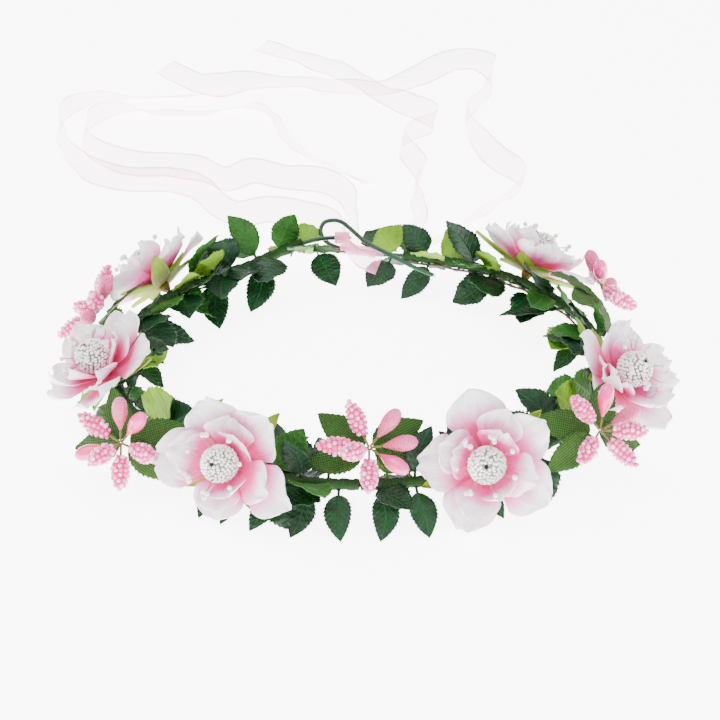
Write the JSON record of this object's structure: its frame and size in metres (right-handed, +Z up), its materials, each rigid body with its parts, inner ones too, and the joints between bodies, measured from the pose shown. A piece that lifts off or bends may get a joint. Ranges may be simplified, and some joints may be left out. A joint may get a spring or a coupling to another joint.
{
  "type": "flower crown",
  "caption": "Open wire ring wound with tape and set with fabric leaves, blossoms and berry sprays, closed at the back by a hook and tied with a sheer ribbon.",
  "frame": {"origin": "centre of the ring, in the plane of the table the crown lies on", "axes": "+Z up, along the axis of the ring; -Y towards the front of the crown, opposite the hook; +X to the right as seen from the front, so the ribbon tails lie towards +Y"},
  "size_m": [0.2623, 0.4864, 0.047],
  "materials": {
    "core_wire": "drawn steel wire, dull",
    "wire_sleeve": "green plastic sleeve, semi-gloss",
    "floral_tape": "crepe floral tape, matt and slightly waxy",
    "vine_stem": "dark brown-green moulded stem",
    "leaf_fabric": "printed satin cloth with pressed veins",
    "net_leaf": "olive net cloth, coarse and open",
    "petal_fabric": "thin dyed cloth, white with a pink middle",
    "calyx_fabric": "ribbed yellow-green cloth",
    "silver_beads": "small silver-lined beads over a ball",
    "pearl_stamen": "pearl tips on thin pink-brown threads",
    "bud_resin": "glossy pink buds, some sugar-frosted",
    "pink_beads": "pale translucent beads over a pink core",
    "organza_ribbon": "sheer pink organza with denser edges"
  },
  "bodies": {
    "right_half": {"core_wire_right": "core_wire", "wire_sleeve_right": "wire_sleeve", "closure_hook": "wire_sleeve", "floral_tape_right": "floral_tape", "vine_stem_right": "vine_stem", "leaves_front_right": "leaf_fabric", "leaves_side_right": "leaf_fabric", "leaves_back_right": "leaf_fabric", "outer_petals_4": "petal_fabric", "outer_petals_5": "petal_fabric", "outer_petals_6": "petal_fabric", "inner_petals_4": "petal_fabric", "inner_petals_5": "petal_fabric", "inner_petals_6": "petal_fabric", "calyx_4": "calyx_fabric", "calyx_5": "calyx_fabric", "calyx_6": "calyx_fabric", "beaded_ball_4": "silver_beads", "beaded_ball_5": "silver_beads", "beaded_ball_6": "silver_beads", "stamens_right": "pearl_stamen", "blossom_stems_right": "wire_sleeve", "buds_3": "bud_resin", "buds_4": "bud_resin", "buds_5": "bud_resin", "bead_spikes_3": "pink_beads", "bead_spikes_4": "pink_beads", "bead_spikes_5": "pink_beads", "spray_leaves_right": "net_leaf", "ribbon_loop": "organza_ribbon", "ribbon_wrap": "organza_ribbon", "ribbon_tails_left": "organza_ribbon", "ribbon_tails_right": "organza_ribbon"},
    "left_half": {"core_wire_left": "core_wire", "wire_sleeve_left": "wire_sleeve", "floral_tape_left": "floral_tape", "vine_stem_left": "vine_stem", "leaves_front_left": "leaf_fabric", "leaves_side_left": "leaf_fabric", "leaves_back_left": "leaf_fabric", "outer_petals_1": "petal_fabric", "outer_petals_2": "petal_fabric", "outer_petals_3": "petal_fabric", "inner_petals_1": "petal_fabric", "inner_petals_2": "petal_fabric", "inner_petals_3": "petal_fabric", "calyx_1": "calyx_fabric", "calyx_2": "calyx_fabric", "calyx_3": "calyx_fabric", "beaded_ball_1": "silver_beads", "beaded_ball_2": "silver_beads", "beaded_ball_3": "silver_beads", "stamens_left": "pearl_stamen", "blossom_stems_left": "wire_sleeve", "buds_1": "bud_resin", "buds_2": "bud_resin", "bead_spikes_1": "pink_beads", "bead_spikes_2": "pink_beads", "spray_leaves_left": "net_leaf"}
  },
  "joints": [
    {"name": "ring_opening", "type": "hinge", "parent": "right_half", "child": "left_half", "pos_m": [0, -0.095, 0.015], "axis": [0, 0, 1], "range_deg": [0, 12], "stiffness_Nm_per_rad": 0.15}
  ]
}
